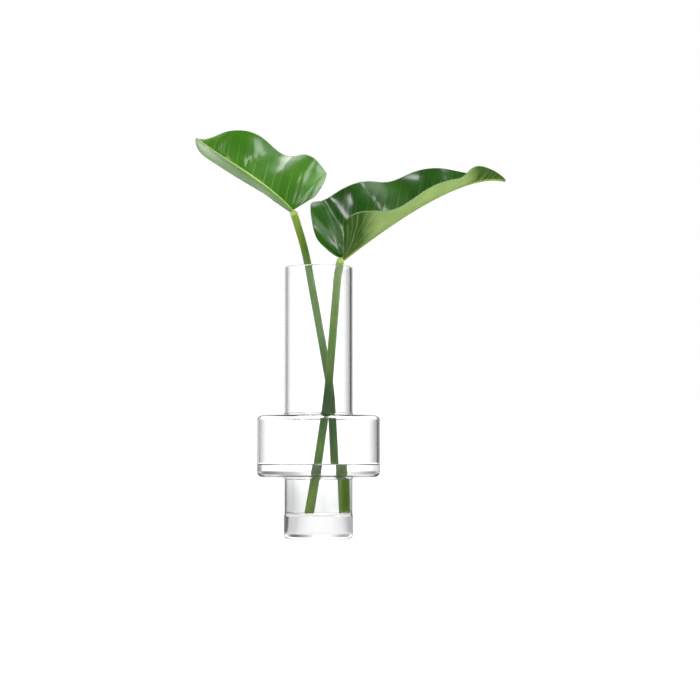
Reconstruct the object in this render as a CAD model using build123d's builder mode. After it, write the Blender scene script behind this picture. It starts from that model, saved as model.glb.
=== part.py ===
from build123d import *
from dataclasses import dataclass
import math
import os

# A free-standing stepped glass vase with a little water and two cut leaves.
# Millimetres, +Z up, the origin at the centre of the face that it stands on.

# Glass vessel, blown in one piece
vase_height = 300
neck_diameter = 75
drum_diameter = 135
foot_diameter = 74.5
base_diameter = 76
wall = 2.8
base_thickness = 27
drum_underside = 68  # height above the table
drum_height = 67.5
base_edge_radius = 4
base_step_height = 2  # the swelling of the solid base runs out over this height
base_step_radius = 1.5
drum_corner_radius = 5.5
waist_radius = 3  # hollow corners where the drum meets the neck and the foot
inner_corner_radius = 3

# Water
water_level = 81  # height above the table

# Leaf stalks
stem_cut_diameter = 9.2
stem_top_diameter = 8.3
stem_rings = 21
floor_clearance = 0.2
water_clearance = 0.4
collar_length = 3  # along the stalk, and again along the midrib
collar_diameter = 9

# Leaf blades
blade_thickness = 0.7
midrib_base_diameter = 5.6
midrib_tip_diameter = 2.8
midrib_rings = 7
fold_depth = 0.2  # the fold lies this share of the midrib's radius under its centre
blade_root = 0.85  # share of the midrib's radius where a blade half begins
blade_end = 0.985  # share of the midrib's length
blade_sections = 18
sinus_gap = 1  # the halves part around the collar by this much
lobe_end = 0.9  # share of a lobe's depth where its last section lies
base_turn_end = 0.28  # shares over which the turn and the rake of the base run out
rake_end = 0.35


@dataclass
class Half:
    width: float  # from the midrib to the edge, at the base
    fold: float  # degrees that the half rises from level
    bend: float  # degrees that it curves from midrib to edge
    wave: float  # degrees that the fold swings along the edge
    waves: float  # swings along the midrib
    phase: float  # share of one swing
    fullness: float  # how long the half keeps its width
    taper: float  # how bluntly it runs out
    lobe: float  # share that the rounded rear lobe reaches behind the collar
    closing: float  # how fully the lobe's rear edge bulges
    rounding: float  # share ahead of the collar where the edge begins to round into the lobe
    rake: float  # degrees that the rear edge sweeps back
    base_turn: float  # degrees added towards the base
    tip_turn: float  # degrees added towards the tip
    tip_from: float  # shares of the midrib's length
    tip_to: float


@dataclass
class Leaf:
    name: str
    side: int  # 1 points to +X, -1 to -X
    foot_azimuth: float  # degrees about the axis, for each point of the stalk
    foot_gap: float  # from the stalk to the wall of the foot
    bend_height: float
    bend_azimuth: float
    bend_gap: float  # from the stalk to the wall of the neck
    bend_radius: float
    crook_height: float  # above the rim, where the stalk turns once more
    crook_azimuth: float
    crook_gap: float  # less than 0 where it leans out over the rim
    crook_radius: float
    reach: float  # stalk above the rim
    top_azimuth: float
    top_gap: float
    pull: float  # share of the stalk's own lean that the lift follows
    rise: float  # degrees of the midrib above level
    heading: float  # degrees that it points away from the front
    length: float
    base_arch: float  # height of the midrib's bow near the collar
    arch: float  # height of its bow near the tip
    crest: float  # share of the length where that bow pulls
    droop: float  # drop of its tip
    far: Half
    near: Half


left = Leaf(
    name="left", side=-1,
    foot_azimuth=20.5, foot_gap=8,
    bend_height=163.8, bend_azimuth=54.1, bend_gap=7, bend_radius=300,
    crook_height=22.1, crook_azimuth=118.7, crook_gap=-2.6, crook_radius=300,
    reach=60.6, top_azimuth=131.8, top_gap=-11.1, pull=0.5,
    rise=38, heading=14, length=143, base_arch=9.3, arch=-3.6, crest=0.8, droop=1.1,
    far=Half(width=67.8, fold=64.8, bend=-14, wave=22.6, waves=1.43, phase=0.207, fullness=2.3, taper=1.2, lobe=0.047,
             closing=1.3, rounding=0, rake=-13.5, base_turn=-30.8, tip_turn=-23.6, tip_from=0.72, tip_to=0.95),
    near=Half(width=54, fold=-2.9, bend=-20, wave=2.3, waves=1.56, phase=0.214, fullness=2.45, taper=1.0, lobe=0.045,
              closing=1.3, rounding=0.05, rake=-2.7, base_turn=1.1, tip_turn=-19.2, tip_from=0.234, tip_to=0.906),
)
right = Leaf(
    name="right", side=1,
    foot_azimuth=-117.7, foot_gap=10.9,
    bend_height=155.6, bend_azimuth=-63.9, bend_gap=7.1, bend_radius=500,
    crook_height=-9.8, crook_azimuth=-42.2, crook_gap=2.2, crook_radius=90,
    reach=2.5, top_azimuth=-38.4, top_gap=0.2, pull=0,
    rise=30, heading=15, length=211.7, base_arch=9.7, arch=19.1, crest=0.84, droop=15.8,
    far=Half(width=71.7, fold=68.7, bend=12, wave=12.5, waves=3.07, phase=-0.562, fullness=1.69, taper=1.55, lobe=0.064,
             closing=1.8, rounding=0.027, rake=-4.8, base_turn=17.5, tip_turn=-25, tip_from=0.7, tip_to=0.9),
    near=Half(width=82.3, fold=15.2, bend=24.3, wave=2.1, waves=2.42, phase=0, fullness=1.28, taper=1.0, lobe=0.035,
              closing=1.3, rounding=0.032, rake=-7.5, base_turn=13.1, tip_turn=37.7, tip_from=0.631, tip_to=0.825),
)

neck_radius = neck_diameter / 2
drum_radius = drum_diameter / 2
foot_radius = foot_diameter / 2
base_radius = base_diameter / 2
neck_bore_radius = neck_radius - wall
foot_bore_radius = foot_radius - wall
drum_top = drum_underside + drum_height
up = Vector(0, 0, 1)


def polar(radius, azimuth, height):
    angle = math.radians(azimuth)
    return Vector(radius * math.cos(angle), radius * math.sin(angle), height)


def smooth_step(low, high, value):
    share = min(1.0, max(0.0, (value - low) / (high - low)))
    return share * share * (3 - 2 * share)


def stem_radius(share):
    return (stem_cut_diameter * (1 - share) + stem_top_diameter * share) / 2


def stem_points(leaf):
    # cut end on the glass floor, bend in the neck, crook near the rim, and top under the leaf
    thick = stem_cut_diameter / 2
    foot = polar(foot_bore_radius - thick - leaf.foot_gap, leaf.foot_azimuth, base_thickness)
    bend = polar(neck_bore_radius - thick - leaf.bend_gap, leaf.bend_azimuth, leaf.bend_height)
    crook = polar(neck_bore_radius - thick - leaf.crook_gap, leaf.crook_azimuth, vase_height + leaf.crook_height)
    top = polar(neck_bore_radius - thick - leaf.top_gap, leaf.top_azimuth, vase_height + leaf.reach)
    return foot, bend, crook, top


def midrib_direction(leaf):
    rise = math.radians(leaf.rise)
    heading = math.radians(leaf.heading)
    level = math.cos(rise)
    return Vector(leaf.side * level * math.cos(heading), level * math.sin(heading), math.sin(rise))


def across(leaf, direction):
    # level, square to the midrib and pointing to the back
    return direction.cross(up).normalized() * -leaf.side


def midrib_start(leaf):
    foot, bend, crook, top = stem_points(leaf)
    return top + (top - crook).normalized() * collar_length + midrib_direction(leaf) * collar_length


def midrib_frame(leaf, share):
    # the midrib is a cubic curve with its ends on the start and the drooping tip
    along = midrib_direction(leaf)
    lift = along.cross(across(leaf, along)) * leaf.side
    start = midrib_start(leaf)
    first = start + along * (leaf.length / 3) + lift * leaf.base_arch
    second = start + along * (leaf.length * leaf.crest) + lift * leaf.arch
    tip = start + along * leaf.length - lift * leaf.droop
    rest = 1 - share
    point = start * rest**3 + first * (3 * rest**2 * share) + second * (3 * rest * share**2) + tip * share**3
    slope = (first - start) * rest**2 + (second - first) * (2 * rest * share) + (tip - second) * share**2
    tangent = slope.normalized()
    back = across(leaf, tangent)
    return point, tangent, back, tangent.cross(back) * leaf.side


def midrib_radius(share):
    return (midrib_base_diameter * (1 - share) + midrib_tip_diameter * share) / 2


def half_width(half, share):
    return half.width * (1 - max(share, 0.0) ** half.fullness) ** half.taper


def half_span(half, share):
    # from the seat in the side of the midrib to the edge; behind the collar the lobe closes on its middle
    seat = blade_root * midrib_radius(share)
    edge = half_width(half, share)
    behind = max(-share / half.lobe, 0.0)
    rounded = max((half.rounding - share) / (half.rounding + half.lobe), 0.0)
    middle = (seat + edge) / 2
    return seat + (middle - seat) * behind**half.closing, edge - (edge - middle) * rounded**2


def half_fold(half, share):
    swing = math.sin(2 * math.pi * (half.waves * share + half.phase))
    base = 1 - smooth_step(0, base_turn_end, share)
    tip = smooth_step(half.tip_from, half.tip_to, share)
    return half.fold + half.wave * swing + half.base_turn * base + half.tip_turn * tip


def half_plane(leaf, half, outward, share):
    # square to the midrib, raked back at the base within the half's own slope, with its origin on the fold
    point, tangent, back, lift = midrib_frame(leaf, share)
    rake = math.radians(half.rake) * (1 - smooth_step(0, rake_end, share))
    fold = math.radians(half_fold(half, share))
    slope = back * (outward * math.cos(fold)) + lift * math.sin(fold)
    square = lift * math.cos(fold) - back * (outward * math.sin(fold))
    raked = slope * math.cos(rake) - tangent * math.sin(rake)
    across_fold = raked * math.cos(fold) - square * math.sin(fold)
    fold_line = point - lift * (fold_depth * midrib_radius(share))
    return Plane(fold_line, x_dir=across_fold, z_dir=raked.cross(square))


def section_share(half, section):
    # sections lie closer together at the base
    start = -half.lobe * lobe_end
    return start + (blade_end - start) * (section / (blade_sections - 1)) ** 1.6


def half_section(half, share):
    # start, middle and end of the under side and then of the upper side, as (across, up) from the fold
    root, edge = half_span(half, share)
    width = half_width(half, share)
    bend = math.radians(half.bend)
    first_angle = math.radians(half_fold(half, share)) - bend / 2

    def place(reach, offset):
        turn = bend * reach / width
        chord = reach * math.sin(turn / 2) / (turn / 2)
        chord_angle = first_angle + turn / 2
        face_angle = first_angle + turn
        return (
            chord * math.cos(chord_angle) - offset * math.sin(face_angle),
            chord * math.sin(chord_angle) + offset * math.cos(face_angle),
        )

    skin = blade_thickness / 2
    stops = (root, (root + edge) / 2, edge)
    return [place(stop, -skin) for stop in stops], [place(stop, skin) for stop in reversed(stops)]


os.makedirs("parts", exist_ok=True)

# Vessel: one revolved wall with a solid base and a fire-polished rim
with BuildPart() as glass_vessel:
    with BuildSketch(Plane.XZ):
        with BuildLine():
            outside = FilletPolyline(
                (0, 0),
                (base_radius, 0),
                (base_radius, base_thickness - base_step_height),
                (foot_radius, base_thickness),
                (foot_radius, drum_underside),
                (drum_radius, drum_underside),
                (drum_radius, drum_top),
                (neck_radius, drum_top),
                (neck_radius, vase_height - wall / 2),
                radius=[
                    base_edge_radius,
                    base_step_radius,
                    base_step_radius,
                    waist_radius,
                    drum_corner_radius,
                    drum_corner_radius,
                    waist_radius,
                ],
            )
            rim = ThreePointArc(
                (neck_radius, vase_height - wall / 2),
                (neck_radius - wall / 2, vase_height),
                (neck_bore_radius, vase_height - wall / 2),
            )
            inside = FilletPolyline(
                (neck_bore_radius, vase_height - wall / 2),
                (neck_bore_radius, drum_top - wall),
                (drum_radius - wall, drum_top - wall),
                (drum_radius - wall, drum_underside + wall),
                (foot_bore_radius, drum_underside + wall),
                (foot_bore_radius, base_thickness),
                (0, base_thickness),
                radius=inner_corner_radius,
            )
            Line((0, base_thickness), (0, 0))
        make_face()
    revolve(axis=Axis.Z)
glass_vessel.part.label = "glass_vessel"
export_step(glass_vessel.part, "parts/glass_vessel.step")

# Water: fills the foot and the bottom of the drum, with room for each stalk to stand and to be drawn up and out
with BuildPart() as water:
    with BuildSketch(Plane.XZ):
        with BuildLine():
            wetted = FilletPolyline(
                (0, base_thickness),
                (foot_bore_radius, base_thickness),
                (foot_bore_radius, drum_underside + wall),
                (drum_radius - wall, drum_underside + wall),
                (drum_radius - wall, water_level),
                radius=inner_corner_radius,
            )
            Polyline(wetted @ 1, (0, water_level), (0, base_thickness))
        make_face()
    revolve(axis=Axis.Z)
    for leaf in (left, right):
        foot, bend, crook, top = stem_points(leaf)
        lean = Vector(bend.X - foot.X, bend.Y - foot.Y, 0)
        depth = water_level - base_thickness
        drift = lean.length * depth / (bend.Z - foot.Z)
        slot_radius = stem_cut_diameter / 2 + water_clearance
        with BuildSketch(Plane(foot, x_dir=lean, z_dir=lean.cross(up))):
            with Locations((0, 0), (drift * leaf.pull, depth), (drift, depth)):
                Circle(slot_radius)
            make_hull()
        extrude(amount=slot_radius, both=True, mode=Mode.SUBTRACT)
water.part.label = "water"
export_step(water.part, "parts/water.step")

for leaf in (left, right):
    foot, bend, crook, top = stem_points(leaf)

    # Stalk: tapers upwards, cut level where it stands on the glass floor
    path = FilletPolyline(foot + (foot - bend) * 0.1, bend, crook, top, radius=[leaf.bend_radius, leaf.crook_radius])
    with BuildPart() as stem:
        for ring in range(stem_rings):
            share = ring / (stem_rings - 1)
            with BuildSketch(Plane(path @ share, x_dir=(1, 0, 0), z_dir=path % share)):
                Circle(stem_radius(share))
        loft()
        split(bisect_by=Plane.XY.offset(base_thickness + floor_clearance), keep=Keep.TOP)
    stem.part.label = f"{leaf.name}_stem"
    export_step(stem.part, f"parts/{leaf.name}_stem.step")

    # Collar: the swollen knuckle that turns from the stalk into the midrib
    upward = (top - crook).normalized()
    start, outgoing, back, lift = midrib_frame(leaf, 0)
    knuckle = (top + start + (top + upward * collar_length) * 2) * 0.25
    with BuildPart() as collar:
        with BuildSketch(Plane(top, x_dir=(0, 1, 0), z_dir=upward)):
            Circle(stem_top_diameter / 2)
        with BuildSketch(Plane(knuckle, x_dir=(0, 1, 0), z_dir=upward + outgoing)):
            Circle(collar_diameter / 2)
        with BuildSketch(Plane(start, x_dir=(0, 1, 0), z_dir=outgoing)):
            Circle(midrib_base_diameter / 2)
        loft()
    collar.part.label = f"{leaf.name}_collar"
    export_step(collar.part, f"parts/{leaf.name}_collar.step")

    # Midrib: a tapering rib along the fold of the blade
    with BuildPart() as midrib:
        for ring in range(midrib_rings):
            share = blade_end * ring / (midrib_rings - 1)
            point, tangent, back, lift = midrib_frame(leaf, share)
            with BuildSketch(Plane(point, x_dir=back, z_dir=tangent)):
                Circle(midrib_radius(share))
        loft()
    midrib.part.label = f"{leaf.name}_midrib"
    export_step(midrib.part, f"parts/{leaf.name}_midrib.step")

    # Blade: two thin halves that rise from the midrib, wave along their edges and run out at the tip
    with BuildPart() as blade:
        for half, outward in ((leaf.far, 1), (leaf.near, -1)):
            for section in range(blade_sections):
                share = section_share(half, section)
                under, over = half_section(half, share)
                with BuildSketch(half_plane(leaf, half, outward, share)):
                    with BuildLine():
                        ThreePointArc(*under)
                        Line(under[2], over[0])
                        ThreePointArc(*over)
                        Line(over[2], under[0])
                    make_face()
            loft()
        with Locations(knuckle):
            Sphere(collar_diameter / 2 + sinus_gap, mode=Mode.SUBTRACT)
    blade.part.label = f"{leaf.name}_blade"
    export_step(blade.part, f"parts/{leaf.name}_blade.step")
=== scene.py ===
import math
import bmesh
import bpy
from mathutils import Matrix, Vector


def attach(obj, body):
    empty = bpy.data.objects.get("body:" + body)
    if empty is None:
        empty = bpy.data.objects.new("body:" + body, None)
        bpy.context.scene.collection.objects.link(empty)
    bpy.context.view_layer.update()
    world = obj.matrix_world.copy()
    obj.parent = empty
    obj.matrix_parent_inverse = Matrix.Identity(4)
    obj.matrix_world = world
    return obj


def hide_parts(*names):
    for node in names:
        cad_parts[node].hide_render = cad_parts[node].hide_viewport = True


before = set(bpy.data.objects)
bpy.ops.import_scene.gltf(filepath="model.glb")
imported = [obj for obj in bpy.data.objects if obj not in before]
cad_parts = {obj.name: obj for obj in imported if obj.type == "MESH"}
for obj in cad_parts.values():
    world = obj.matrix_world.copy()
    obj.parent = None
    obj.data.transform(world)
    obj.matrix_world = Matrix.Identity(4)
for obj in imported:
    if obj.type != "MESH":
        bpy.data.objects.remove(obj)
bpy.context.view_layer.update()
mm = 0.001
print("frame loaded")


class Wire:
    # a shader socket that can stand in a Python expression
    def __init__(self, tree, socket=None):
        self.tree = tree
        self.socket = socket

    def node(self, kind, settings=None, inputs=None, out=0):
        made = self.tree.nodes.new(kind)
        for name, value in (settings or {}).items():
            if name == "stops":
                fillRamp(made.color_ramp, value)
            else:
                setattr(made, name, value)
        for key, value in (inputs or {}).items():
            if isinstance(value, Wire):
                self.tree.links.new(value.socket, made.inputs[key])
            else:
                made.inputs[key].default_value = value
        return Wire(self.tree, made.outputs[out] if made.outputs else None)

    def sum(self, operation, first, second=0.0):
        return self.node("ShaderNodeMath", {"operation": operation}, {0: first, 1: second})

    def __add__(self, other):
        return self.sum("ADD", self, other)

    __radd__ = __add__

    def __mul__(self, other):
        return self.sum("MULTIPLY", self, other)

    __rmul__ = __mul__

    def __sub__(self, other):
        return self.sum("SUBTRACT", self, other)

    def __rsub__(self, other):
        return self.sum("SUBTRACT", other, self)

    def __truediv__(self, other):
        return self.sum("DIVIDE", self, other)

    def smooth(self, low, high):
        return self.node("ShaderNodeMapRange", {"interpolation_type": "SMOOTHSTEP"},
                         {"Value": self, "From Min": low, "From Max": high})

    def colour(self, first, second):
        # this value as the factor between two colours
        return self.node("ShaderNodeMix", {"data_type": "RGBA"}, {0: self, 6: first, 7: second}, out=2)

    def mix(self, first, second):
        # this value as the factor between two numbers
        return self.node("ShaderNodeMix", {"data_type": "FLOAT"}, {0: self, 2: first, 3: second})

    def noise(self, scale, detail=3.0, where=None):
        spot = where or self.node("ShaderNodeTexCoord", out=3)
        return self.node("ShaderNodeTexNoise", {}, {"Vector": spot, "Scale": scale, "Detail": detail})


def fillRamp(ramp, stops):
    while len(ramp.elements) > len(stops):
        ramp.elements.remove(ramp.elements[-1])
    while len(ramp.elements) < len(stops):
        ramp.elements.new(1.0)
    for element, (position, tone) in zip(ramp.elements, stops):
        element.position = position
        element.color = (*tone, 1) if isinstance(tone, tuple) else (tone, tone, tone, 1)


def newMaterial(name, **fixed):
    # a Principled surface with its constant sockets set
    material = bpy.data.materials.new(name)
    material.use_nodes = True
    surface = material.node_tree.nodes["Principled BSDF"]
    for socket, value in fixed.items():
        surface.inputs[socket.replace("_", " ")].default_value = value
    return material, surface, Wire(material.node_tree)


def plug(surface, socket, wire):
    wire.tree.links.new(wire.socket, surface.inputs[socket])


def finishPiece(bm, name, body, node, materials):
    mesh = bpy.data.meshes.new(name)
    bm.to_mesh(mesh)
    bm.free()
    for polygon in mesh.polygons:
        polygon.use_smooth = True
    for material in materials:
        mesh.materials.append(material)
    piece = bpy.data.objects.new(name, mesh)
    bpy.context.scene.collection.objects.link(piece)
    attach(piece, body)
    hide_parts(node)
    return piece


def smoothStep(low, high, value):
    share = min(1.0, max(0.0, (value - low) / (high - low)))
    return share * share * (3 - 2 * share)


# Glass vessel: one lathe profile, radius and height in millimetres, with the radius of each corner
vessel = {
    "profile": [
        (0, 0, 0), (38, 0, 4), (38, 25, 0.3), (37.25, 27, 0.3), (37.25, 68, 3), (67.5, 68, 5.5),
        (67.5, 135.5, 5.5), (37.5, 135.5, 3), (37.5, 300, 1.38), (34.7, 300, 1.38), (34.7, 132.7, 3),
        (64.7, 132.7, 3), (64.7, 70.8, 3), (34.45, 70.8, 3), (34.45, 27, 3), (0, 27, 0),
    ],
    "turns": 192,
    "cornerSteps": 7,
    "tint": (0.994, 0.998, 0.997, 1),
    "rippleDepth": 0.012,
}


def latheProfile(shape):
    # a chain of edges, its corners rounded, spun round the axis
    bm = bmesh.new()
    corners = [bm.verts.new((radius * mm, 0, height * mm)) for radius, height, rounding in shape["profile"]]
    for first, second in zip(corners, corners[1:]):
        bm.edges.new((first, second))
    for corner, (radius, height, rounding) in zip(corners, shape["profile"]):
        if rounding:
            bmesh.ops.bevel(bm, geom=[corner], offset=rounding * mm, offset_type="OFFSET", affect="VERTICES",
                            segments=shape["cornerSteps"], profile=0.5, material=-1)
    for edge in [edge for edge in bm.edges if edge.calc_length() > 2 * mm]:
        # a loop close to each end keeps the shading of a long wall straight
        for vert in edge.verts[:]:
            bmesh.utils.edge_split(edge, vert, 0.4 * mm / edge.calc_length())
    bmesh.ops.spin(bm, geom=bm.verts[:] + bm.edges[:], cent=(0, 0, 0), axis=(0, 0, 1), angle=2 * math.pi,
                   steps=shape["turns"], use_merge=True)
    bmesh.ops.remove_doubles(bm, verts=bm.verts, dist=1e-6)
    bmesh.ops.recalc_face_normals(bm, faces=bm.faces)
    return bm


def clearGlass():
    material, surface, wire = newMaterial("clearGlass", Base_Color=vessel["tint"], Roughness=0.0, IOR=1.5,
                                          Transmission_Weight=1.0)
    # blown glass: faint ripples that run round the wall
    spot = wire.node("ShaderNodeTexCoord", out=3)
    drawn = wire.node("ShaderNodeMapping", {}, {"Vector": spot, "Scale": (14, 14, 40)})
    ripple = wire.noise(1.0, 1.0, drawn)
    bump = wire.node("ShaderNodeBump", {}, {"Strength": vessel["rippleDepth"], "Distance": 0.0006, "Height": ripple})
    plug(surface, "Normal", bump)
    return material


finishPiece(latheProfile(vessel), "glassVessel", "vase", "glass_vessel", [clearGlass()])
print("glass vessel done")


# Water: meets the glass all round and climbs a little where it wets the wall
water = {
    "profile": [
        (0, 26.9, 0), (34.55, 26.9, 3), (34.55, 70.7, 3), (64.8, 70.7, 3), (64.8, 82.2, 0), (64.3, 81.6, 0),
        (63.2, 81.15, 0), (61.5, 81, 0), (0, 81, 0),
    ],
    "turns": 160,
    "cornerSteps": 5,
    "tint": (0.992, 0.998, 0.998, 1),
}


def clearWater():
    material, surface, wire = newMaterial("clearWater", Base_Color=water["tint"], Roughness=0.0, IOR=1.333,
                                          Transmission_Weight=1.0)
    stir = wire.noise(16.0, 1.0)
    bump = wire.node("ShaderNodeBump", {}, {"Strength": 0.03, "Distance": 0.0005, "Height": stir})
    plug(surface, "Normal", bump)
    return material


finishPiece(latheProfile(water), "waterCharge", "vase", "water", [clearWater()])
print("water done")


# Leaves: millimetres and degrees, the same lines as the solids
foliage = {
    "neckBore": 34.7, "footBore": 34.45, "floor": 27, "rim": 300,
    "cutRadius": 4.6, "topRadius": 4.15, "floorGap": 0.2,
    "collarLength": 3, "collarRadius": 4.5,
    "ribBase": 2.8, "ribTip": 1.4, "foldDepth": 0.2, "seat": 0.85,
    "bladeEnd": 0.984, "lobeEnd": 0.99, "edgeClosing": 1.5, "baseTurnEnd": 0.28, "rakeEnd": 0.35, "thickness": 0.62,
    "rows": 150, "columns": 56,
}
# fine relief of a blade; a swell is a share of the length, a share of the width and a height
relief = {
    "quilt": 0.13, "veinDepth": 0.16, "veinWidth": 0.7, "fan": 26, "buckle": 0.28,
    "swellLength": 0.07, "swellWidth": 0.22,
}
rods = {
    "segments": 28, "ribSegments": 24, "stemSteps": 96, "arcSteps": 16, "collarSteps": 18, "ribSteps": 60,
    "groove": 0.05, "uneven": 0.012, "crease": 0.12, "ribShrink": 0.97, "ribFlat": 0.9,
}
leftLeaf = {
    "name": "left", "side": -1, "footAzimuth": 20.5, "footGap": 8, "bendHeight": 163.8, "bendAzimuth": 54.1,
    "bendGap": 7, "bendRadius": 300, "crookHeight": 22.1, "crookAzimuth": 118.7, "crookGap": -2.6,
    "crookRadius": 300, "reach": 60.6, "topAzimuth": 131.8, "topGap": -11.1, "rise": 38, "heading": 14,
    "length": 143, "baseArch": 9.3, "arch": -3.6, "crest": 0.8, "droop": 1.1, "veinLean": 24, "veinGap": 11,
    "far": {"width": 67.75, "fold": 64.8, "bend": -14, "wave": 22.6, "waves": 1.43, "phase": 0.207,
            "fullness": 2.3, "taper": 1.2, "lobe": 0.047, "closing": 1.15, "rounding": 0, "rake": -13.5,
            "baseTurn": -30.8, "tipTurn": -23.6, "tipFrom": 0.72, "tipTo": 0.95, "swells": [], "bloom": 0},
    # the near half carries the painted sheen and a rougher, duller finish
    "near": {"width": 54, "fold": -2.9, "bend": -20, "wave": 2.3, "waves": 1.56, "phase": 0.214,
             "fullness": 2.45, "taper": 1.0, "lobe": 0.045, "closing": 1.15, "rounding": 0.05, "rake": -2.7,
             "baseTurn": 1.1, "tipTurn": -19.2, "tipFrom": 0.234, "tipTo": 0.906, "swells": [], "bloom": 1},
}
rightLeaf = {
    "name": "right", "side": 1, "footAzimuth": -117.7, "footGap": 10.9, "bendHeight": 155.6, "bendAzimuth": -63.9,
    "bendGap": 7.1, "bendRadius": 500, "crookHeight": -9.8, "crookAzimuth": -42.2, "crookGap": 2.2,
    "crookRadius": 90, "reach": 2.5, "topAzimuth": -38.4, "topGap": 0.2, "rise": 30, "heading": 15,
    "length": 211.7, "baseArch": 9.7, "arch": 19.1, "crest": 0.84, "droop": 15.8, "veinLean": 38, "veinGap": 13,
    "far": {"width": 71.7, "fold": 68.7, "bend": 12, "wave": 12.5, "waves": 3.07, "phase": -0.562,
            "fullness": 1.69, "taper": 1.55, "lobe": 0.064, "closing": 1.4, "rounding": 0.027, "rake": -4.8,
            "baseTurn": 17.5, "tipTurn": -25, "tipFrom": 0.7, "tipTo": 0.9, "swells": [(0.19, 0.6, 2.5)],
            "bloom": 0},
    "near": {"width": 82.3, "fold": 15.2, "bend": 24.3, "wave": 2.1, "waves": 2.42, "phase": 0,
             "fullness": 1.28, "taper": 1.0, "lobe": 0.035, "closing": 1.15, "rounding": 0.032, "rake": -7.5,
             "baseTurn": 13.1, "tipTurn": 37.7, "tipFrom": 0.631, "tipTo": 0.825, "swells": [], "bloom": 0},
}
upward = Vector((0, 0, 1))


def polar(radius, azimuth, height):
    angle = math.radians(azimuth)
    return Vector((radius * math.cos(angle), radius * math.sin(angle), height))


def stemPoints(leaf):
    thick = foliage["cutRadius"]
    foot = polar(foliage["footBore"] - thick - leaf["footGap"], leaf["footAzimuth"], foliage["floor"])
    bend = polar(foliage["neckBore"] - thick - leaf["bendGap"], leaf["bendAzimuth"], leaf["bendHeight"])
    crook = polar(foliage["neckBore"] - thick - leaf["crookGap"], leaf["crookAzimuth"],
                  foliage["rim"] + leaf["crookHeight"])
    top = polar(foliage["neckBore"] - thick - leaf["topGap"], leaf["topAzimuth"], foliage["rim"] + leaf["reach"])
    return foot, bend, crook, top


def midribDirection(leaf):
    rise, heading = math.radians(leaf["rise"]), math.radians(leaf["heading"])
    level = math.cos(rise)
    return Vector((leaf["side"] * level * math.cos(heading), level * math.sin(heading), math.sin(rise)))


def acrossRib(leaf, direction):
    return direction.cross(upward).normalized() * -leaf["side"]


def midribStart(leaf):
    foot, bend, crook, top = stemPoints(leaf)
    return (top + (top - crook).normalized() * foliage["collarLength"]
            + midribDirection(leaf) * foliage["collarLength"])


def midribFrame(leaf, share):
    along = midribDirection(leaf)
    lift = along.cross(acrossRib(leaf, along)) * leaf["side"]
    start = midribStart(leaf)
    first = start + along * (leaf["length"] / 3) + lift * leaf["baseArch"]
    second = start + along * (leaf["length"] * leaf["crest"]) + lift * leaf["arch"]
    tip = start + along * leaf["length"] - lift * leaf["droop"]
    rest = 1 - share
    point = start * rest**3 + first * (3 * rest**2 * share) + second * (3 * rest * share**2) + tip * share**3
    slope = (first - start) * rest**2 + (second - first) * (2 * rest * share) + (tip - second) * share**2
    tangent = slope.normalized()
    back = acrossRib(leaf, tangent)
    return point, tangent, back, tangent.cross(back) * leaf["side"]


def ribRadius(share):
    return foliage["ribBase"] * (1 - share) + foliage["ribTip"] * share


def halfWidth(half, share):
    return half["width"] * (1 - max(share, 0.0) ** half["fullness"]) ** half["taper"]


def closing(share, power):
    # from 0 to 1 along a rounded corner, fuller with a higher power
    return 1 - (1 - share**power) ** (1 / power)


def halfSpan(half, share):
    seat = foliage["seat"] * ribRadius(share)
    edge = halfWidth(half, share)
    behind = max(-share / half["lobe"], 0.0)
    rounded = max((half["rounding"] - share) / (half["rounding"] + half["lobe"]), 0.0)
    middle = (seat + edge) / 2
    return (seat + (middle - seat) * closing(behind, half["closing"]),
            edge - (edge - middle) * closing(rounded, foliage["edgeClosing"]))


def halfFold(half, share):
    swing = math.sin(2 * math.pi * (half["waves"] * share + half["phase"]))
    base = 1 - smoothStep(0, foliage["baseTurnEnd"], share)
    tip = smoothStep(half["tipFrom"], half["tipTo"], share)
    return math.radians(half["fold"] + half["wave"] * swing + half["baseTurn"] * base + half["tipTurn"] * tip)


def bladePoint(leaf, half, outward, share, reach):
    # the middle of the blade's thickness, and the direction its upper side faces
    point, tangent, back, lift = midribFrame(leaf, share)
    rake = math.radians(half["rake"]) * (1 - smoothStep(0, foliage["rakeEnd"], share))
    fold = halfFold(half, share)
    slope = back * (outward * math.cos(fold)) + lift * math.sin(fold)
    square = lift * math.cos(fold) - back * (outward * math.sin(fold))
    raked = slope * math.cos(rake) - tangent * math.sin(rake)
    bend = math.radians(half["bend"])
    turn = bend * reach / halfWidth(half, share)
    chord = reach * math.sin(turn / 2) / (turn / 2)
    tilt = (turn - bend) / 2
    foldLine = point - lift * (foliage["foldDepth"] * ribRadius(share))
    place = foldLine + raked * (chord * math.cos(tilt)) + square * (chord * math.sin(tilt))
    face = turn - bend / 2
    return place, square * math.cos(face) - raked * math.sin(face)


def veinCount(leaf, along, out):
    # which side vein a point lies on; behind the first one they fan out of the collar
    lean = math.radians(leaf["veinLean"])
    ahead = along - out * math.tan(lean)
    if ahead < 0:
        ahead = -relief["fan"] * (math.atan2(out, along) - (math.pi / 2 - lean))
    count = ahead / leaf["veinGap"]
    # uneven spacing
    return count + 0.16 * math.sin(2.1 * count + 0.7) + 0.07 * math.sin(5.3 * count)


def leafPiece(bm, leaf, part, materials):
    name = leaf["name"]
    return finishPiece(bm, name + part.capitalize(), name + "_leaf", name + "_" + part, materials)


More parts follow.
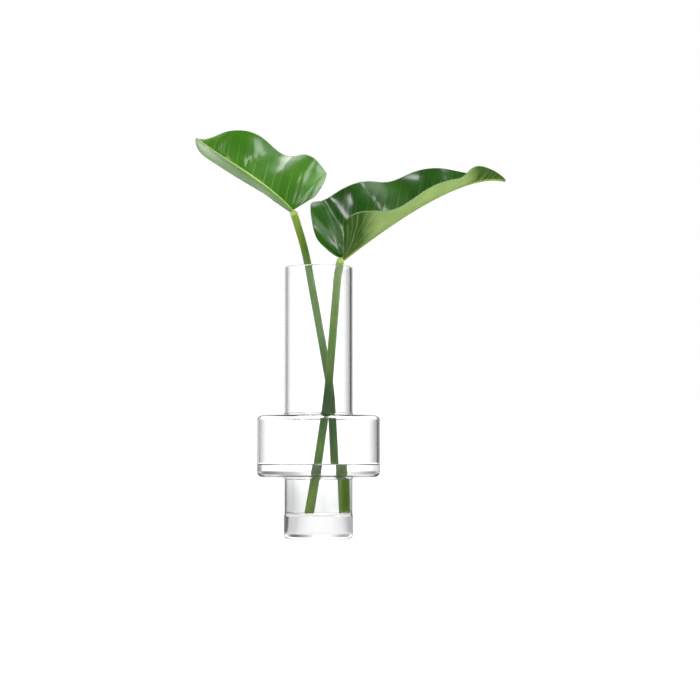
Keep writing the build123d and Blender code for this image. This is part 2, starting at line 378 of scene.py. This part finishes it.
def growBlade(leaf, materials):
    # a grid for each half, laid along the fold and out to the edge, with its side veins pressed in
    bm = bmesh.new()
    layers = {name: bm.verts.layers.float.new(name) for name in ("vein", "across", "along", "bloom")}
    for half, outward in ((leaf["far"], 1), (leaf["near"], -1)):
        grid = bmesh.ops.create_grid(bm, x_segments=foliage["rows"], y_segments=foliage["columns"], size=0.5)
        start = -half["lobe"] * foliage["lobeEnd"]
        for vert in grid["verts"]:
            row, column = vert.co.x + 0.5, vert.co.y + 0.5
            share = start + (foliage["bladeEnd"] - start) * row**1.15
            root, edge = halfSpan(half, share)
            reach = root + (edge - root) * column
            place, face = bladePoint(leaf, half, outward, share, reach)
            vein = veinCount(leaf, share * leaf["length"], reach)
            fade = (smoothStep(0, 0.08, column) * (1 - smoothStep(0.8, 0.99, column))
                    * (1 - smoothStep(0.88, 0.98, share)))
            off = abs(vein - round(vein)) * leaf["veinGap"]
            quilt = (relief["quilt"] * (1 - math.cos(2 * math.pi * vein))
                     - relief["veinDepth"] * math.exp(-(off / relief["veinWidth"]) ** 2))
            quilt *= 1 - 0.75 * smoothStep(0.3, 0.8, column)
            run = share * leaf["length"]
            buckle = relief["buckle"] * math.sin(run / 7.3 + reach / 11 + outward) * math.sin(reach / 8.1 - run / 23)
            swell = sum(height * math.exp(-((share - at) / relief["swellLength"]) ** 2
                                          - ((column - out) / relief["swellWidth"]) ** 2)
                        for at, out, height in half["swells"])
            vert.co = (place + face * ((quilt + buckle) * fade + swell)) * mm
            vert[layers["vein"]] = vein
            vert[layers["across"]] = reach / max(halfWidth(half, share), 1)
            vert[layers["along"]] = share
            vert[layers["bloom"]] = half["bloom"]
        if outward * leaf["side"] < 0:
            faces = list({face for vert in grid["verts"] for face in vert.link_faces})
            bmesh.ops.reverse_faces(bm, faces=faces)
    piece = leafPiece(bm, leaf, "blade", materials)
    wall = piece.modifiers.new("thickness", "SOLIDIFY")
    wall.thickness = foliage["thickness"] * mm
    wall.offset = 0
    wall.material_offset = 1
    wall.use_quality_normals = True


def sweepTube(stations, segments, groove=0.0):
    # a ring is carried along the stations, each a matrix that holds its place, direction and radius
    bm = bmesh.new()
    along = bm.verts.layers.float.new("along")
    ring = bmesh.ops.create_circle(bm, cap_ends=True, segments=segments, radius=1)["verts"]
    for vert in ring:
        angle = math.atan2(vert.co.y, vert.co.x)
        vert.co *= 1 - groove * math.exp(-((angle - math.pi / 2) / 0.35) ** 2)
    bmesh.ops.transform(bm, matrix=stations[0], verts=ring)
    edges = list({edge for vert in ring for edge in vert.link_edges})
    for count, (before, after) in enumerate(zip(stations, stations[1:])):
        grown = bmesh.ops.extrude_edge_only(bm, edges=edges)["geom"]
        ring = [item for item in grown if isinstance(item, bmesh.types.BMVert)]
        edges = [item for item in grown if isinstance(item, bmesh.types.BMEdge)
                 and item.verts[0] in ring and item.verts[1] in ring]
        bmesh.ops.transform(bm, matrix=after @ before.inverted(), verts=ring)
        for vert in ring:
            vert[along] = (count + 1) / (len(stations) - 1)
    bmesh.ops.edgeloop_fill(bm, edges=edges)
    bmesh.ops.recalc_face_normals(bm, faces=bm.faces)
    return bm


def station(centre, forward, sideways, radius, flat=1.0):
    forward = forward.normalized()
    sideways = (sideways - forward * sideways.dot(forward)).normalized()
    third = forward.cross(sideways)
    turn = Matrix((sideways, third, forward)).transposed().to_4x4()
    size = Matrix.Diagonal((radius * mm, radius * flat * mm, mm, 1))
    return Matrix.Translation(centre * mm) @ turn @ size


def stemPath(leaf, count):
    # straight runs with an arc at the bend and at the crook, as points at equal steps
    foot, bend, crook, top = stemPoints(leaf)
    line = [foot]
    corners = ((foot, bend, crook, leaf["bendRadius"]), (bend, crook, top, leaf["crookRadius"]))
    steps = rods["arcSteps"]
    for before, corner, after, radius in corners:
        down, up = (before - corner).normalized(), (after - corner).normalized()
        turn = math.pi - down.angle(up)
        trim = radius * math.tan(turn / 2)
        centre = corner + (down + up).normalized() * math.hypot(radius, trim)
        begin = corner + down * trim - centre
        axis = begin.cross(corner + up * trim - centre).normalized()
        line += [centre + Matrix.Rotation(turn * step / steps, 3, axis) @ begin for step in range(steps + 1)]
    line.append(top)
    runs = [0]
    for first, second in zip(line, line[1:]):
        runs.append(runs[-1] + (second - first).length)
    points = []
    for step in range(count):
        run = runs[-1] * step / (count - 1)
        part = max(index for index in range(len(line) - 1) if runs[index] <= run + 1e-9)
        points.append(line[part].lerp(line[part + 1], (run - runs[part]) / (runs[part + 1] - runs[part])))
    return points


def growStem(leaf, material):
    points = stemPath(leaf, rods["stemSteps"])
    points[0] = points[0] + upward * foliage["floorGap"]
    stations = []
    for count, point in enumerate(points):
        share = count / (len(points) - 1)
        forward = points[min(count + 1, len(points) - 1)] - points[max(count - 1, 0)]
        if count == 0:
            forward = upward  # cut level
        radius = foliage["cutRadius"] * (1 - share) + foliage["topRadius"] * share
        uneven = rods["uneven"] * (1 + math.sin(share * 23))
        radius *= 1 - uneven * smoothStep(0, 0.1, share) * (1 - smoothStep(0.9, 1, share))
        stations.append(station(point, forward, Vector((1, 0, 0)), radius))
    leafPiece(sweepTube(stations, rods["segments"], rods["groove"]), leaf, "stem", [material])


def growCollar(leaf, material):
    foot, bend, crook, top = stemPoints(leaf)
    rising = (top - crook).normalized()
    start, outgoing, back, lift = midribFrame(leaf, 0)
    corner = top + rising * foliage["collarLength"]
    stations = []
    steps = rods["collarSteps"]
    for count in range(steps + 1):
        share = count / steps
        rest = 1 - share
        centre = top * rest**2 + corner * (2 * rest * share) + start * share**2
        forward = (corner - top) * rest + (start - corner) * share
        plain = foliage["topRadius"] * rest + foliage["ribBase"] * share
        swell = foliage["collarRadius"] - (foliage["topRadius"] + foliage["ribBase"]) / 2
        crease = rods["crease"] * math.exp(-((share - 0.2) / 0.05) ** 2)
        stations.append(station(centre, forward, back, plain + swell * math.sin(math.pi * share) ** 1.5 - crease))
    leafPiece(sweepTube(stations, rods["segments"]), leaf, "collar", [material])


def growMidrib(leaf, material):
    stations = []
    steps = rods["ribSteps"]
    for count in range(steps + 1):
        share = foliage["bladeEnd"] * count / steps
        point, tangent, back, lift = midribFrame(leaf, share)
        stations.append(station(point, tangent, back, ribRadius(share) * rods["ribShrink"], rods["ribFlat"]))
    leafPiece(sweepTube(stations, rods["ribSegments"]), leaf, "midrib", [material])


# Leaf finishes
leafFinish = {
    "upperDeep": (0.012, 0.09, 0.002, 1), "upperFresh": (0.11, 0.38, 0.009, 1), "upperVein": (0.24, 0.5, 0.07, 1),
    "underDeep": (0.03, 0.105, 0.006, 1), "underFresh": (0.44, 0.64, 0.19, 1), "underVein": (0.5, 0.68, 0.22, 1),
    # the last two colours on the next line are painted sheen: the grey-green, and the whitish tip, of a reflection on
    # the left leaf's near half
    "edge": (0.3, 0.42, 0.14, 1), "bloom": (0.12, 0.19, 0.08, 1), "paintedSheenTip": (0.41, 0.47, 0.36, 1),
    # fine lines of the rods
    "collarDeep": (0.4, 0.56, 0.11, 1), "stalkDeep": (0.04, 0.13, 0.008, 1), "ribDeep": (0.2, 0.34, 0.04, 1),
    # shares of the length and the colour there; on the stalks the darkest stops, where the two stalks cross in the
    # neck, are painted shade
    "leftStalk": [(0.1, (0.22, 0.44, 0.012)), (0.19, (0.1, 0.2, 0.028)), (0.27, (0.055, 0.145, 0.02)),
                  (0.39, (0.025, 0.085, 0.004)), (0.55, (0.16, 0.31, 0.08)), (0.65, (0.25, 0.42, 0.15)),
                  (0.8, (0.26, 0.43, 0.16)), (0.88, (0.17, 0.31, 0.035)), (1, (0.34, 0.5, 0.08))],
    "rightStalk": [(0.1, (0.28, 0.54, 0.02)), (0.18, (0.11, 0.26, 0.035)), (0.27, (0.13, 0.28, 0.035)),
                   (0.35, (0.065, 0.18, 0.02)), (0.45, (0.018, 0.08, 0.002)), (0.51, (0.045, 0.15, 0.005)),
                   (0.58, (0.15, 0.29, 0.04)), (0.75, (0.24, 0.43, 0.08)), (1, (0.39, 0.57, 0.2))],
    "collar": [(0, (0.53, 0.7, 0.18)), (0.5, (0.6, 0.78, 0.23)), (1, (0.63, 0.8, 0.25))],
    "rib": [(0, (0.4, 0.62, 0.13)), (0.4, (0.62, 0.84, 0.26)), (0.7, (0.5, 0.7, 0.24)), (1, (0.42, 0.54, 0.27))],
    "keel": [(0, (0.23, 0.38, 0.05)), (0.5, (0.32, 0.47, 0.085)), (1, (0.23, 0.38, 0.05))],
}


def bladeSurface(name, side, shine, gloss, sheen, lines, toneAndShade, lengthTone):
    # green that is lighter past the base and darker towards the tip, with pale veins, a painted sheen on one half
    # that is also rougher and less glossy, and a coat of gloss
    deep, fresh, vein = (leafFinish[side + tone] for tone in ("Deep", "Fresh", "Vein"))
    material, surface, wire = newMaterial(name, Specular_IOR_Level=shine, Coat_Roughness=0.2, Coat_IOR=1.7,
                                          Sheen_Weight=sheen, Sheen_Roughness=0.35)
    count = wire.node("ShaderNodeAttribute", {"attribute_name": "vein"}, out=2)
    across = wire.node("ShaderNodeAttribute", {"attribute_name": "across"}, out=2)
    along = wire.node("ShaderNodeAttribute", {"attribute_name": "along"}, out=2)
    mottle = wire.noise(55.0, 4.0)
    blotch = wire.noise(14.0, 2.0)
    wander = count + (mottle - 0.5) * 0.12
    mainLine = wire.sum("PINGPONG", wander, 0.5)  # 0 on a side vein, 0.5 between two
    fineLine = wire.sum("PINGPONG", wander * 4.0, 0.5)
    hairLine = wire.sum("PINGPONG", wander * 13.0, 0.5)
    onVein = (1 - mainLine.smooth(0.0, 0.07)) * (1 - 0.9 * across.smooth(0.1, 0.75))
    onFine = (1 - fineLine.smooth(0.0, 0.2)) * (1 - 0.5 * across)
    # lighter past the base and darker again towards the tip
    toneAlong = (along.smooth(0.02, 0.2) - along.smooth(0.66, 0.82) * 0.7) * lengthTone
    # the tone sets how light the green is; the right leaf's low value is painted shade
    body = (blotch * 0.7 + mottle * 0.4 + toneAndShade - 0.55 + toneAlong).colour(deep, fresh)
    # painted sheen: the marked half is coloured grey-green, turning whitish towards the tip, for the backdrop it
    # mirrors at a grazing angle; it is also made rougher and less glossy
    bloom = wire.node("ShaderNodeAttribute", {"attribute_name": "bloom"}, out=2)
    paintedSheen = along.smooth(0.3, 0.85).colour(leafFinish["bloom"], leafFinish["paintedSheenTip"])
    streaks = wire.sum("PINGPONG", across * 4.0 + blotch * 0.8, 0.5) * 2.0
    lip = along.smooth(0.35, 0.65).mix(across.smooth(0.3, 0.65), 1 - 0.7 * across.smooth(0.55, 0.9))
    # the painted sheen lies near the midrib towards the tip and out by the edge near the base, broken into streaks
    body = (bloom * lip * (0.65 + 0.35 * streaks)).colour(body, paintedSheen)
    lined = (onFine * lines * 0.3 + hairLine * lines * 0.1).colour(body, vein)
    veined = (onVein * (0.45 + 0.4 * lines)).colour(lined, vein)
    rimmed = (across.smooth(0.98, 0.998) * lines * 0.6).colour(veined, leafFinish["edge"])
    plug(surface, "Base Color", rimmed)
    plug(surface, "Roughness", 0.36 + 0.14 * mottle - 0.05 * onFine + 0.2 * bloom)
    if gloss:
        plug(surface, "Coat Weight", gloss * (1 - 0.75 * bloom) * (1 - 0.85 * along.smooth(0.56, 0.68)))
    grain = (fineLine * 0.5 + hairLine * 0.2 + mottle * 0.7) * (1 - 0.7 * bloom)
    bump = wire.node("ShaderNodeBump", {}, {"Strength": 0.3, "Distance": 0.0004, "Height": grain})
    plug(surface, "Normal", bump)
    return material


def rodSurface(name, stops, deep):
    # a smooth green skin, coloured along its length, on the stalks with painted shade where they cross, and with fine
    # lines along it in a deeper colour
    material, surface, wire = newMaterial(name, Specular_IOR_Level=0.12)
    along = wire.node("ShaderNodeAttribute", {"attribute_name": "along"}, out=2)
    skin = wire.node("ShaderNodeValToRGB", {"stops": stops}, {0: along})
    spot = wire.node("ShaderNodeTexCoord", out=3)
    streaked = wire.node("ShaderNodeMapping", {}, {"Vector": spot, "Scale": (420, 420, 14)})
    streak = wire.noise(1.0, 3.0, streaked)
    blotch = wire.noise(40.0, 3.0)
    plug(surface, "Base Color", (0.7 - streak * 0.6 - blotch * 0.5).colour(skin, deep))
    plug(surface, "Roughness", 0.34 + 0.18 * streak)
    bump = wire.node("ShaderNodeBump", {}, {"Strength": 0.3, "Distance": 0.0003, "Height": streak + blotch * 0.5})
    plug(surface, "Normal", bump)
    return material


leafUnder = bladeSurface("leafUnder", "under", shine=0.15, gloss=0.0, sheen=0.0, lines=1.0, toneAndShade=-0.4,
                         lengthTone=1.25)
leftUpper = bladeSurface("leftUpper", "upper", shine=0.15, gloss=0.58, sheen=0.15, lines=0.35, toneAndShade=0.46,
                         lengthTone=0.0)
# painted shade: the right leaf's upper side gets a lower tone than the left one's, as it lies in shade
rightUpperShaded = bladeSurface("rightUpperShaded", "upper", shine=0.1, gloss=0.75, sheen=0.0, lines=0.3, toneAndShade=0.07,
                          lengthTone=0.0)
collarSkin = rodSurface("collarSkin", leafFinish["collar"], leafFinish["collarDeep"])
for leaf, leafUpper, rib in ((leftLeaf, leftUpper, "rib"), (rightLeaf, rightUpperShaded, "keel")):
    stalk = leaf["name"] + "Stalk"
    growBlade(leaf, [leafUpper, leafUnder])
    growStem(leaf, rodSurface(stalk + "Skin", leafFinish[stalk], leafFinish["stalkDeep"]))
    growCollar(leaf, collarSkin)
    growMidrib(leaf, rodSurface(rib + "Skin", leafFinish[rib], leafFinish["ribDeep"]))
    print(leaf["name"], "leaf done")


# Studio: white sweep behind, and darker sides for what the edges of the glass bend into view
studio = {
    "floorSize": 80, "floorDrop": 0.0004, "fill": 0.55, "behind": {"wall": 1.3, "floor": 1.04},
    "nearFloor": 0.8, "farFloor": 1.75,
    "front": {"glossy": 0.08, "through": 0.8},
    "overhead": {"glossy": 0.3, "through": 0.95},
    # degrees away from straight behind, and brightness
    "wallRight": [(0, 1), (3, 1), (5, 0.8), (8, 0.6), (12, 0.46), (16, 0.34), (23, 0.18), (30, 0.07), (40, 0.1),
                  (60, 1)],
    "wallLeft": [(0, 1), (5, 1), (8, 0.92), (12, 0.84), (20, 0.62), (27, 0.38), (36, 0.25), (46, 0.23), (65, 1)],
    "floorRight": [(0, 1), (8, 0.98), (18, 0.84), (26, 0.64), (42, 0.6), (46, 0.36), (49, 0.04), (80, 0.03), (95, 1)],
    "floorLeft": [(0, 1), (13, 0.98), (21, 0.9), (27, 0.83), (33, 0.72), (40, 0.58), (47, 0.43), (67, 0.4), (85, 1)],
    "flagRight": [(0, 0.6), (2, 0.35), (6, 0.12), (60, 0.1), (90, 0.2)],
    "wallFlagLeft": [(0, 0.7), (2, 0.5), (6, 0.36), (60, 0.3), (90, 0.25)],
    "floorFlagLeft": [(0, 0.6), (2, 0.35), (6, 0.12), (60, 0.1), (90, 0.2)],
}


def outputs(wire):
    return [Wire(wire.tree, socket) for socket in wire.socket.node.outputs]


def seenRays(wire):
    # camera, glossy and transmission rays
    rays = {socket.name: Wire(wire.tree, socket) for socket in wire.node("ShaderNodeLightPath").socket.node.outputs}
    return rays["Is Camera Ray"], rays["Is Glossy Ray"], rays["Is Transmission Ray"]


def sweepLevel(wire, spot, through, part):
    # brightness in a direction, by how far it is turned from straight behind and by its height
    sideways, deep, high = outputs(wire.node("ShaderNodeSeparateXYZ", {}, {0: spot}))
    turned = wire.sum("ABSOLUTE", wire.sum("ARCTAN2", sideways, deep)) / math.pi
    right, left, flagRight, flagLeft = (
        wire.node("ShaderNodeValToRGB", {"stops": [(turn / 180, level) for turn, level in studio[name]]}, {0: turned})
        for name in (part + "Right", part + "Left", "flagRight", part + "FlagLeft"))
    toRight = wire.sum("GREATER_THAN", sideways, 0.0)
    around = toRight.mix(left, right)
    around = high.smooth(0.14, 0.31).mix(around, 1.0) * studio["behind"][part]
    # dark flags at the sides, which only the surfaces mirror: they draw the thin dark outline of clear glass
    flags = toRight.mix(flagLeft, flagRight)
    mirrored = wire.sum("MAXIMUM", through, high.smooth(0.1, 0.35)).mix(flags, around)
    front = through.mix(studio["front"]["glossy"], studio["front"]["through"])
    overhead = through.mix(studio["overhead"]["glossy"], studio["overhead"]["through"])
    level = turned.smooth(0.5, 0.62).mix(mirrored, front)
    return high.smooth(0.75, 0.92).mix(level, overhead)


def buildWorld():
    world = bpy.data.worlds.new("studio")
    bpy.context.scene.world = world
    world.use_nodes = True
    wire = Wire(world.node_tree)
    background = world.node_tree.nodes["Background"]
    camera, glossy, through = seenRays(wire)
    spot = wire.node("ShaderNodeTexCoord", out=0)
    bent = wire.sum("MAXIMUM", glossy, through).mix(studio["fill"], sweepLevel(wire, spot, through, "wall"))
    background.inputs["Color"].default_value = (1, 1, 1, 1)
    plug(background, "Strength", camera.mix(bent, 1.0))


def buildFloor():
    bm = bmesh.new()
    bmesh.ops.create_grid(bm, x_segments=1, y_segments=1, size=studio["floorSize"])
    bmesh.ops.translate(bm, vec=(0, 0, -studio["floorDrop"]), verts=bm.verts)
    mesh = bpy.data.meshes.new("studioFloor")
    bm.to_mesh(mesh)
    bm.free()
    floor = bpy.data.objects.new("studioFloor", mesh)
    bpy.context.scene.collection.objects.link(floor)
    material = bpy.data.materials.new("floorPaper")
    material.use_nodes = True
    tree = material.node_tree
    tree.nodes.clear()
    wire = Wire(tree)
    camera, glossy, through = seenRays(wire)
    spot = wire.node("ShaderNodeTexCoord", out=3)
    away = wire.node("ShaderNodeVectorMath", {"operation": "LENGTH"}, {0: spot}, out=1)
    sweep = sweepLevel(wire, spot, through, "floor") * away.smooth(0.7, 14.0).mix(1.0, studio["farFloor"])
    beyond = away.smooth(0.06, 0.3).mix(studio["nearFloor"], sweep)
    lit = wire.node("ShaderNodeBsdfDiffuse", {}, {"Color": (0.86, 0.86, 0.86, 1)})
    glow = wire.node("ShaderNodeEmission", {}, {"Strength": camera.mix(beyond, 1.062)})
    seen = wire.sum("MAXIMUM", camera * 0.9, wire.sum("MAXIMUM", glossy, through))
    both = wire.node("ShaderNodeMixShader", {}, {0: seen, 1: lit, 2: glow})
    wire.node("ShaderNodeOutputMaterial", {}, {"Surface": both})
    mesh.materials.append(material)


# place and size in metres, power in watts; the aim is a height on the axis
lamps = {
    "topSoft": {"place": (0.1, 0.75, 1.75), "aim": 0.38, "size": (1.1, 0.7), "power": 13},
    "frontLeft": {"place": (-1.05, -1.62, 0.68), "aim": 0.4, "size": (0.62, 0.3), "power": 7},
    "rightTall": {"place": (1.4, -0.5, 0.98), "aim": 0.38, "size": (0.45, 0.8), "power": 8},
    "rightHigh": {"place": (0.8, -0.9, 1.5), "aim": 0.4, "size": (0.5, 0.35), "power": 4},
}


def aimAt(holder, place, target):
    holder.location = place
    holder.rotation_euler = (Vector(target) - Vector(place)).to_track_quat("-Z", "Y").to_euler()
    bpy.context.scene.collection.objects.link(holder)


def softbox(name, place, aim, size, power):
    lamp = bpy.data.lights.new(name, "AREA")
    lamp.shape = "RECTANGLE"
    lamp.size, lamp.size_y = size
    lamp.energy = power
    aimAt(bpy.data.objects.new(name, lamp), place, (0, 0, aim))


buildWorld()
buildFloor()
for name, lamp in lamps.items():
    softbox(name, **lamp)


# Camera: long lens a little above the table, looking slightly up
view = {"eye": (0.0347, -2.5, 0.086), "aim": (0.0347, 0, 0.208), "lens": 116.4, "sensor": 36}
lens = bpy.data.cameras.new("photoCamera")
lens.lens = view["lens"]
lens.sensor_width = view["sensor"]
lens.sensor_fit = "HORIZONTAL"
lens.clip_end = 50
camera = bpy.data.objects.new("photoCamera", lens)
aimAt(camera, view["eye"], view["aim"])
bpy.context.scene.camera = camera
bpy.context.scene.view_settings.view_transform = "Standard"
print("studio done")
